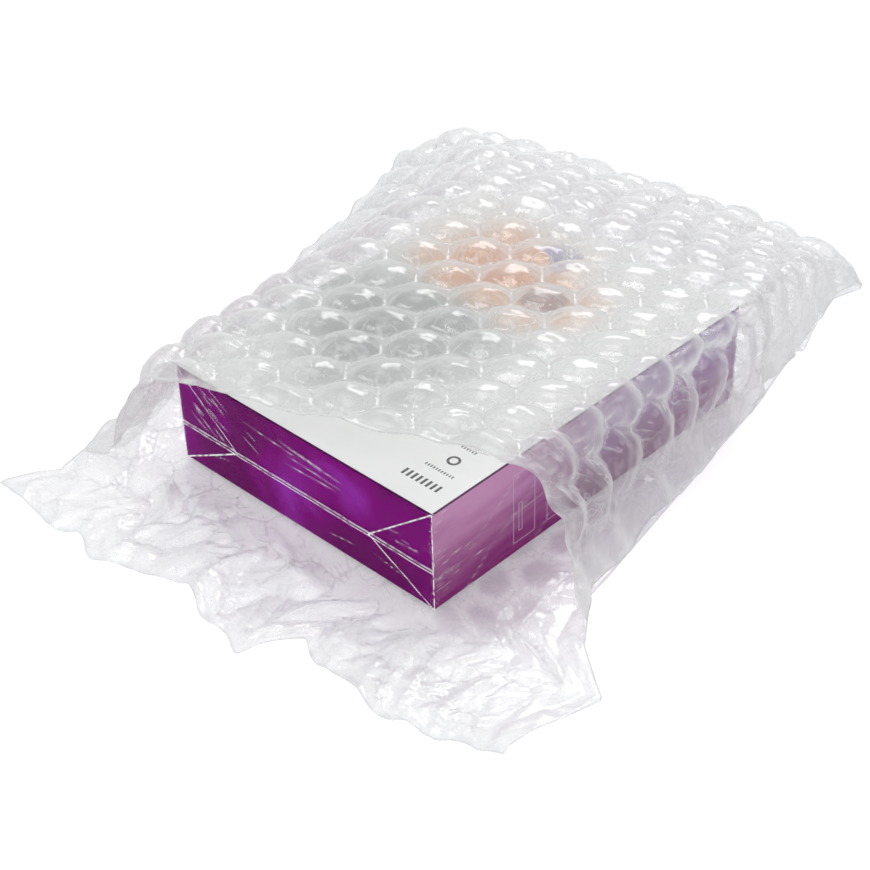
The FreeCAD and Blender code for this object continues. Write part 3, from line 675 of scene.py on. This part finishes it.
def film_material(name, main_skin, haze, veil, grazing, mirror, roughness, white, clear):
    """Thin clear film: see-through, with a milky veil that is denser at welds, gathers, creases and
    edge-on, fine crinkles, and gloss over all of it. The skin that is not the main one is clearer."""
    n = new_material(name)
    place = n.place()
    share, gathers, chance = cell_pattern(n)
    skin = n.parts(n.attribute("flat", "Vector"))["Z"]
    main = n.rest(n.product(n.math("ABSOLUTE", n.math("SUBTRACT", skin, main_skin)), 0.8))
    inside = n.attribute("cell")
    broken = n.step(n.noise(95.0, 0.0, 0.5, 0.0, place), 0.30, 0.62)
    weld = n.product(n.step(share, 0.90, 0.97), inside, broken)
    gathers = n.product(gathers, n.step(share, 0.45, 0.85), inside)
    cloudy = n.noise(27.0, 3.0, 0.55, 0.9, place)
    contour = n.math("ABSOLUTE", n.math("SUBTRACT", cloudy, 0.5))
    crinkle = n.product(n.rest(n.step(contour, 0.0, 0.022)), chance)
    relief = n.scaled(gathers, 0.45, cloudy)
    relief = n.scaled(crinkle, 0.16, relief)
    relief = n.scaled(weld, -0.15, relief)
    bump = n.bump(0.6, MM, relief)
    facing = n.add("LayerWeight", Blend=0.5, Normal=bump).outputs["Facing"]
    cover = n.product(n.scaled(cloudy, 1.2, 0.4), haze)
    for mark, density in ((weld, 0.6 * veil), (gathers, 0.6 * veil), (crinkle, 0.5 * veil),
                          (n.attribute("crease"), veil), (n.step(facing, 0.06, 0.74), grazing)):
        cover = n.scaled(mark, density, cover)
    cover = n.math("MULTIPLY", cover, main, clamp=True)
    # Painted shade and lilac bounce light beside the carton's right side darken the film's white and its
    # see-through tint, more in the cells' middles.
    middle = n.product(n.step(share, 0.92, 0.45), inside)
    shade = n.product(painted_side_shade(n, place), n.scaled(middle, 0.5, 0.5))
    cloud = n.blend(shade, white, tuple(tone * part for tone, part in zip(white, PAINTED_SIDE_SHADE)))
    glass = n.blend(shade, (clear, clear, clear), tuple(clear * part for part in PAINTED_SIDE_SHADE))
    body = n.add("MixShader", Fac=cover, _1=n.add("BsdfTransparent", Color=glass),
                 _2=n.milk(0.30, cloud, bump))
    shine = n.product(n.math("POWER", facing, 4.0), main, 0.45)
    shine = n.math("ADD", shine, mirror, clamp=True)
    gloss = n.add("BsdfGlossy", Color=(1.0, 1.0, 1.0), Normal=bump,
                  Roughness=n.scaled(main, 0.6 * roughness, 0.4 * roughness))
    film = n.add("MixShader", Fac=shine, _1=body, _2=gloss)
    thin = n.add("MixShader", Fac=0.06, _1=n.add("BsdfTransparent", Color=(0.99, 0.99, 0.99)),
                 _2=n.add("BsdfDiffuse", Color=(0.95, 0.95, 0.96)))
    return n.finish(n.add("MixShader", Fac=n.add("LightPath").outputs["Is Camera Ray"], _1=thin, _2=film))


def wrap_material():
    """Thin, tight and very clear overwrap: gloss, fine tension creases, white lines at its folds, and
    painted glints at its creases and along the carton's vertical edges.
    """
    n = new_material("overwrap")
    place = n.place()
    stretched = n.add("Mapping", Vector=place, Scale=(1.0, 1.0, 3.0))
    crackle = n.add("TexVoronoi", {"feature": "DISTANCE_TO_EDGE"}, Vector=stretched, Scale=60.0)
    relief = n.scaled(n.math("MINIMUM", crackle, 0.12), 1.5, n.noise(55.0, 3.0, 0.6, 1.6, stretched))
    bump = n.bump(0.35, 0.6 * MM, relief)
    broken = n.step(n.noise(300.0, 1.0, 0.5, 0.0, place), 0.38, 0.5)
    line = n.product(n.rest(n.step(n.attribute("fold_distance"), 0.25, 0.75)), n.scaled(broken, 0.6, 0.3))
    # The creases' white is partly painted glint; the gloss that rises with it is real.
    crease = n.product(n.attribute("crease"), n.scaled(broken, 0.5, 0.35))
    edge = n.attribute("edge")
    # Painted glints: white along the carton's vertical edges, thickest right at them.
    painted_glint = n.product(edge, n.step(n.noise(520.0, 2.0, 0.7, 1.5, place), 0.60, 0.70))
    corner = n.product(n.step(edge, 0.985, 1.0), n.step(n.noise(160.0, 3.0, 0.7, 0.0, place), 0.42, 0.56))
    cover = n.most(crease, line, n.product(n.most(painted_glint, corner), 0.8))
    cover = n.math("ADD", cover, 0.003, clamp=True)
    clear = n.add("BsdfTransparent", Color=(0.995, 0.995, 0.995))
    body = n.add("MixShader", Fac=cover, _1=clear, _2=n.milk(0.25, (0.97, 0.96, 0.98), bump))
    facing = n.add("LayerWeight", Blend=0.5, Normal=bump).outputs["Facing"]
    mirror = n.scaled(n.math("POWER", facing, 5.0), 0.25, 0.001)
    mirror = n.math("MULTIPLY_ADD", n.math("POWER", cover, 1.5), 0.85, mirror, clamp=True)
    gloss = n.add("BsdfGlossy", Color=(1.0, 1.0, 1.0), Roughness=0.14, Normal=bump)
    wrap = n.add("MixShader", Fac=mirror, _1=body, _2=gloss)
    return n.finish(n.add("MixShader", Fac=n.add("LightPath").outputs["Is Shadow Ray"], _1=wrap, _2=clear))


SIDE_FRAMES = ((72, 92, 8, 62), (77, 80, 16, 38), (104, 116, 8, 26), (232, 262, 14, 50))
FRAME_LINE = 0.8 * MM


def side_frames(n, place):
    """1 on the thin outlines printed on the right side. Each is (front, back, low, high), in millimetres
    from the carton's front bottom corner."""
    _, y, z = n.parts(place)
    lines = [0.0]
    for front, back, low, high in SIDE_FRAMES:
        along = n.math("SUBTRACT", y, carton_low.y + (front + back) / 2 * MM)
        up = n.math("SUBTRACT", z, carton_low.z + (low + high) / 2 * MM)
        along = n.math("SUBTRACT", n.math("ABSOLUTE", along), (back - front) / 2 * MM)
        up = n.math("SUBTRACT", n.math("ABSOLUTE", up), (high - low) / 2 * MM)
        lines.append(n.math("LESS_THAN", n.math("ABSOLUTE", n.most(along, up)), FRAME_LINE / 2))
    return n.most(*lines)


def board_material():
    """Varnished purple board: deep on the ends, lighter on the right side partly by its own print and
    partly by painted light, with soft violet glows that are painted highlights.
    """
    n = new_material("printed_board")
    place = n.place()
    x, y, z = n.parts(place)
    cloud = n.scaled(n.step(x, 0.03, 0.11), -0.10, n.noise(11.0, 3.0, 0.5, 0.8, place))
    # The ends' lightest violet patches are painted highlights.
    ends = n.ramp(cloud, (0.38, (0.17, 0.0, 0.135)), (0.52, (0.26, 0.0, 0.23)), (0.66, (0.38, 0.03, 0.50)))
    glow = n.noise(9.0, 2.0, 0.45, 0.3, place)
    rear = n.scaled(n.math("SUBTRACT", y, carton_low.y + 0.13), 4.0, glow)
    # The right side's pale pink is partly its own print and partly painted light, standing in for light and
    # reflections of the white surroundings.
    side = n.ramp(rear, (0.45, (0.80, 0.39, 0.66)), (0.85, (0.40, 0.20, 0.56)))
    streak = n.add("Mapping", Vector=place, Rotation=(0.5, 0.0, 0.0), Scale=(1.0, 1.0, 5.0))
    rise = n.math("ADD", n.step(z, carton_low.z, carton_high.z), -0.45)
    rise = n.math("MULTIPLY_ADD", n.noise(14.0, 2.0, 0.5, 0.5, streak), 0.9, rise, clamp=True)
    side = n.blend(rise, (0.31, 0.03, 0.22), side)
    side = n.blend(n.product(side_frames(n, place), 0.6), side, (0.80, 0.62, 0.78))
    normal = n.parts(n.add("NewGeometry").outputs["Normal"])["X"]
    colour = n.blend(n.math("GREATER_THAN", n.math("ABSOLUTE", normal), 0.5), ends, side)
    edge = n.math("GREATER_THAN", z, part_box("carton")[1].z - 0.9 * MM)
    colour = n.blend(n.product(edge, 0.8), colour, (0.03, 0.0, 0.035))
    return n.finish(n.add("BsdfPrincipled", Base_Color=colour, Roughness=0.38, Specular_IOR_Level=0.015,
                          Normal=n.bump(0.08, 0.2 * MM, n.noise(700.0, 2.0))))


def disc_share(n, place, node, size=1.0):
    """0 at the middle of a printed disc, 1 at its rim times size, with a ragged edge."""
    low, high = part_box(node)
    away = n.vector("DISTANCE", place, tuple((low + high) / 2)).outputs["Value"]
    ragged = n.scaled(n.noise(34.0, 2.0, 0.5, 0.0, place), 0.5, -0.25)
    return n.scaled(away, 2.0 / (high - low).x / size, ragged)


def mottled(n, place, low, high):
    """A soft change of tone between two colours."""
    return n.ramp(n.noise(22.0, 3.0, 0.5, 0.6, place), (0.3, low), (0.7, high))


WASHES = (("print_grey", (0.46, 0.48, 0.47), 2.0), ("print_brown", (0.80, 0.48, 0.30), 2.6),
          ("print_peach", (0.80, 0.40, 0.18), 2.1))  # disc, colour of its wash and the wash's size


def paper_colour(n, place):
    """The white of the print with a pale wash of colour round the discs."""
    paper = mottled(n, place, (0.90, 0.905, 0.875), (0.94, 0.94, 0.915))
    for node, colour, size in WASHES:
        paper = n.blend(n.step(disc_share(n, place, node, size), 0.35, 0.95), colour, paper)
    return paper


def print_material(node, low=None, high=None):
    """Printed and varnished paper. Given two tones, it is a field of them, and a disc's field fades out
    to the paper round it."""
    n = new_material(node)
    place = n.place()
    tone = mottled(n, place, low, high) if low else paper_colour(n, place)
    if node in DISCS:
        tone = n.blend(n.step(disc_share(n, place, node), 0.55, 1.0), tone, paper_colour(n, place))
    return n.finish(n.add("BsdfPrincipled", Base_Color=tone, Roughness=0.35,
                          Normal=n.bump(0.06, 0.2 * MM, n.noise(700.0, 2.0))))


def floor_material():
    """Plain pale floor that keeps the shadow and is lifted to white where it is seen, more so far off."""
    n = new_material("floor")
    far = n.step(n.vector("LENGTH", n.place()).outputs["Value"], 0.5, 1.6)
    glow = n.add("Emission", Color=(1.0, 1.0, 1.0), Strength=n.product(n.seen(), n.scaled(far, 0.5, 0.5)))
    return n.finish(n.add("AddShader", _0=n.add("BsdfDiffuse", Color=(0.84, 0.84, 0.845)), _1=glow))


def set_material(piece, material):
    piece.data.materials.clear()
    piece.data.materials.append(material)


# ---- film ----


def make_film():
    """The folded film, as its upper layer with the back fold and its lower layer with the skirt."""
    step = FILM_STEP * SPARSE
    row_step = step / (CELL_PITCH / 2)
    shares = np.linspace(0.0, 1.0, int(FILM_WIDTH / step) + 1)
    joint_row = UPPER_ROWS + FOLD_ROWS
    upper_rows = np.linspace(-LIP_ROWS, joint_row, int((joint_row + LIP_ROWS) / row_step) + 1)
    lower_rows = np.linspace(joint_row, LAST_ROW + LIP_ROWS, int((LOWER_ROWS + LIP_ROWS) / row_step) + 1)
    upper = film_piece("film_upper_layer", *upper_layer(AcrossMap(), shares, upper_rows), (True, False))
    lower = film_piece("film_lower_layer", *lower_layer(shares, lower_rows), (False, True))
    # The two layers are one film. The upper layer's darker white and clear tint are painted shade for its
    # dome middles, and the lower layer's lighter ones are painted light on the skirt.
    upper_look = film_material("film_upper", main_skin=0.0, haze=0.11, veil=0.60, grazing=0.62,
                               mirror=0.050, roughness=0.13, white=(0.91, 0.91, 0.90), clear=0.935)
    lower_look = film_material("film_lower", main_skin=1.0, haze=0.17, veil=0.55, grazing=0.38,
                               mirror=0.045, roughness=0.12, white=(0.935, 0.935, 0.945), clear=0.972)
    for piece, look, fill in ((upper, upper_look, 0.9), (lower, lower_look, 0.5)):
        set_material(piece, look)
        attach(piece, "root")
        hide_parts("cushion_film")


# ---- overwrap ----

TUCK_DEPTH = 56.0 * MM  # how far in the envelope folds of the ends meet
SEAM_LEVEL = 30.0 * MM  # of the seam across each end
SEAM_WIDTH = 2.4 * MM
WRAP_GAUGE = 0.2 * MM
WRAP_STEPS = (0.9 * MM, 4.95 * MM, 0.9 * MM)  # between its points: across, along and up the carton
END_WAVE = (0.12 * MM, 24.0 * MM)  # slow waves of its ends, and of its top and underside
FLAT_WAVE = (0.1 * MM, 60.0 * MM)
FAR_OFF = 9.0  # millimetres, to a fold line on a face that has none


def line_distance(x, z, ends):
    """Distance of points from a straight line between two ends."""
    (x1, z1), (x2, z2) = ends
    along = np.clip(((x - x1) * (x2 - x1) + (z - z1) * (z2 - z1)) / ((x2 - x1) ** 2 + (z2 - z1) ** 2), 0, 1)
    return np.hypot(x - x1 - along * (x2 - x1), z - z1 - along * (z2 - z1))


def end_relief(x, z, seed):
    """One end of the overwrap, x from its left edge: how far it stands off, the distance from the
    nearest fold line in millimetres and how creased it is."""
    left, right = (TUCK_DEPTH, SEAM_LEVEL), (carton_width - TUCK_DEPTH, SEAM_LEVEL)
    tucks = [((0.0, 0.0), left), ((0.0, carton_height), left),
             ((carton_width, 0.0), right), ((carton_width, carton_height), right)]
    fold = np.minimum.reduce([line_distance(x, z, ends) for ends in tucks])
    beside = np.minimum(x, carton_width - x)
    edge = np.where(z < SEAM_LEVEL, z / SEAM_LEVEL, (carton_height - z) / (carton_height - SEAM_LEVEL))
    flap = smooth_step(-0.4 * MM, 0.4 * MM, beside - TUCK_DEPTH * np.clip(edge, 0.0, 1.0))
    seam = np.abs(z - SEAM_LEVEL)
    band = 1.0 - smooth_step(SEAM_WIDTH * 0.4, SEAM_WIDTH * 0.8, seam)
    middle = Folds(seed, 5, (0.3 * carton_width, 44 * MM), (0.65 * carton_width, 62 * MM), -0.04, 0.06,
                   (14, 34), (0.8, 2.0), (0.15, 0.42))
    left_tuck = Folds(seed + 1, 15, (8 * MM, 36 * MM), (72 * MM, 68 * MM), -0.52, 0.10,
                      (5, 17), (0.6, 1.4), (0.2, 0.45))
    right_tuck = Folds(seed + 3, 6, (carton_width - 34 * MM, 38 * MM), (carton_width - 5 * MM, 62 * MM),
                       0.0, 0.08, (3, 8), (0.6, 1.2), (0.2, 0.40))
    foot = Folds(seed + 4, 3, (0.1 * carton_width, 6 * MM), (0.9 * carton_width, 20 * MM), 0.05, 0.15,
                 (6, 16), (0.5, 1.0), (0.1, 0.25))
    rise, crease = np.zeros_like(x), np.zeros_like(x)
    for group in (middle, left_tuck, right_tuck, foot):
        more, sharper = group.read(x, z)
        rise, crease = rise + more, np.maximum(crease, sharper)
    slack = smooth_step(0.0, 6.0 * MM, np.minimum.reduce([beside, z, carton_height - z]))
    relief = (WRAP_GAUGE * (flap + band) + np.abs(rise) * slack
              + (END_WAVE[0] + ripple(seed + 2, x, z, *END_WAVE)) * slack)
    fold = np.minimum(fold, np.abs(seam - SEAM_WIDTH / 2))
    return relief, fold / MM, crease * (0.25 + 0.75 * slack)


def side_relief(y, z, seed):
    """A long side of the overwrap, as for an end: tight, with tension folds, most at its front edge."""
    groups = (Folds(seed, 24, (0.0, 0.0), (carton_length, carton_height), 0.3, 0.35,
                    (12, 60), (1.2, 3.0), (0.10, 0.30)),
              Folds(seed + 5, 13, (2 * MM, 12 * MM), (42 * MM, 44 * MM), -0.05, 0.04,
                    (4, 13), (0.6, 1.2), (0.08, 0.2)),
              Folds(seed + 6, 26, (1 * MM, 8 * MM), (11 * MM, 46 * MM), 0.1, 0.6,
                    (1.2, 4), (0.6, 1.1), (0.05, 0.15)))
    rise, crease = np.zeros_like(y), np.zeros_like(y)
    for group, white in zip(groups, (0.38, 0.8, 0.9)):
        more, sharper = group.read(y, z)
        rise, crease = rise + more, np.maximum(crease, white * sharper)
    edge = np.minimum.reduce([y, carton_length - y, z, carton_height - z])
    return np.abs(rise) * smooth_step(0.0, 5.0 * MM, edge), np.full_like(y, FAR_OFF), crease


def flat_relief(x, y, seed):
    """The top or the underside of the overwrap, as for an end: taut, in slow waves."""
    return FLAT_WAVE[0] + ripple(seed, x, y, *FLAT_WAVE), np.full_like(x, FAR_OFF), np.zeros_like(x)


def wrap_face(axis, outward, start):
    """One face of the overwrap: its points, its faces numbered from start, and what each point carries
    for the material. Outward is 1 or -1 along the axis."""
    size = np.array([carton_width, carton_length, carton_height])
    first, second = [np.linspace(0.0, size[way], int(size[way] / WRAP_STEPS[way] / SPARSE) + 1)
                     for way in range(3) if way != axis]
    across, up = np.meshgrid(first, second)
    relief, fold, crease = (side_relief, end_relief, flat_relief)[axis](
        across, up, SEED + 20 + axis * 2 + outward)
    place = np.insert(np.stack([across, up], axis=-1), axis, size[axis] if outward > 0 else 0.0, axis=-1)
    place = place / size * (size + 2 * WRAP_STAND) - WRAP_STAND + np.array(carton_low)
    place[..., axis] += outward * relief
    faces = grid_faces(len(second), len(first), start, (outward > 0) == (axis == 1))
    beside = np.minimum(across, first[-1] - across) if axis < 2 else np.ones_like(across)
    edge = 1.0 - smooth_step(1.0 * MM, 6.0 * MM, beside)
    return place.reshape(-1, 3), faces, fold.ravel(), crease.ravel(), edge.ravel()


def make_overwrap():
    """The clear overwrap as one tight closed skin: its flat faces and the envelope folds of its ends."""
    parts, start = [], 0
    for axis, outward in ((1, -1), (1, 1), (0, 1), (0, -1), (2, 1), (2, -1)):
        parts.append(wrap_face(axis, outward, start))
        start += len(parts[-1][0])
    points, faces, fold, crease, edge = [np.concatenate(values) for values in zip(*parts)]
    wrap = make_mesh("overwrap_film", points, faces, fold_distance=fold, crease=crease, edge=edge)
    joined = bmesh.new()
    joined.from_mesh(wrap.data)
    bmesh.ops.remove_doubles(joined, verts=joined.verts, dist=0.02 * MM)
    joined.to_mesh(wrap.data)
    joined.free()
    set_material(wrap, wrap_material())
    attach(wrap, "root")
    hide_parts("overwrap")


# ---- carton ----

TONES = {"print_grey": ((0.235, 0.25, 0.245), (0.43, 0.45, 0.44)),
         "print_peach": ((0.66, 0.24, 0.08), (0.82, 0.40, 0.18)),
         "print_violet": ((0.20, 0.15, 0.36), (0.32, 0.27, 0.48)),
         "print_brown": ((0.16, 0.05, 0.04), (0.34, 0.15, 0.11)),
         "print_marks": ((0.02, 0.02, 0.025), (0.05, 0.05, 0.055))}
DISCS = ("print_grey", "print_peach", "print_violet", "print_brown")


def finish_carton():
    """Materials of the carton and its printed top."""
    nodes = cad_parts
    set_material(nodes["carton"], board_material())
    set_material(nodes["print_white"], print_material("print_white"))
    for node, tones in TONES.items():
        set_material(nodes[node], print_material(node, *tones))


# ---- stage ----

LENS = 80.3  # millimetres, on a 36 mm sensor
CAMERA_OFFSET = Vector((0.6306, -0.6285, 0.7975))  # from the carton's front right bottom corner
AZIMUTH, ELEVATION, ROLL = (math.radians(angle) for angle in (44.88, 36.70, -1.82))


def make_camera():
    """The camera at the viewing angle of the pack's mouth and right side."""
    across = Vector((math.cos(AZIMUTH), math.sin(AZIMUTH), 0.0))
    back = Vector((math.sin(AZIMUTH) * math.cos(ELEVATION), -math.cos(AZIMUTH) * math.cos(ELEVATION),
                   math.sin(ELEVATION)))
    turn = Matrix((across, back.cross(across), back)).transposed().to_4x4()
    camera = bpy.data.objects.new("camera", bpy.data.cameras.new("camera"))
    camera.data.lens = LENS
    camera.data.sensor_width = 36.0
    camera.data.clip_start = 0.05
    camera.matrix_world = (Matrix.Translation(Vector((CORNER.x, CORNER.y, carton_low.z)) + CAMERA_OFFSET)
                           @ turn @ Matrix.Rotation(ROLL, 4, "Z"))
    bpy.context.scene.collection.objects.link(camera)
    bpy.context.scene.camera = camera


def make_softbox(name, place, target, width, height, radiance):
    """A soft square lamp of a given brightness, aimed at target."""
    lamp = bpy.data.lights.new(name, "AREA")
    lamp.shape = "RECTANGLE"
    lamp.size = width
    lamp.size_y = height
    lamp.energy = radiance * math.pi * width * height
    box = bpy.data.objects.new(name, lamp)
    box.location = place
    box.rotation_euler = (Vector(target) - Vector(place)).to_track_quat("-Z", "Y").to_euler()
    bpy.context.scene.collection.objects.link(box)


def make_world():
    """Even light from all round, and white wherever the surroundings are seen."""
    n = Nodes(bpy.data.worlds.new("world"))
    lit = n.add("Background", Color=(0.93, 0.96, 1.0), Strength=0.39)
    white = n.add("Background", Color=(1.0, 1.0, 1.0), Strength=1.0)
    shown = n.add("MixShader", Fac=n.seen(), _1=lit, _2=white)
    bpy.context.scene.world = n.finish(shown, "OutputWorld")


def make_stage():
    """Soft light, the white surroundings and the floor."""
    make_softbox("key_softbox", (-0.60, 1.15, 1.35), (0.0, 0.0, 0.05), 0.8, 0.6, 6.2)
    make_softbox("side_softbox", (1.35, 0.45, 1.05), (0.0, 0.0, 0.05), 0.8, 0.6, 2.1)
    make_softbox("top_softbox", (0.0, -0.1, 1.9), (0.0, 0.0, 0.0), 1.0, 1.0, 1.35)
    make_softbox("front_softbox", (0.1, -1.7, 0.75), (0.0, 0.0, 0.05), 1.4, 0.9, 2.0)
    make_world()
    bpy.ops.mesh.primitive_plane_add(size=8.0, location=(0.0, 0.0, 0.0))
    floor = bpy.context.object
    floor.name = "floor"
    set_material(floor, floor_material())
    bpy.context.scene.view_settings.view_transform = "Standard"
    bpy.context.scene.cycles.transparent_max_bounces = 40


finish_carton()
make_overwrap()
make_film()
make_camera()
make_stage()
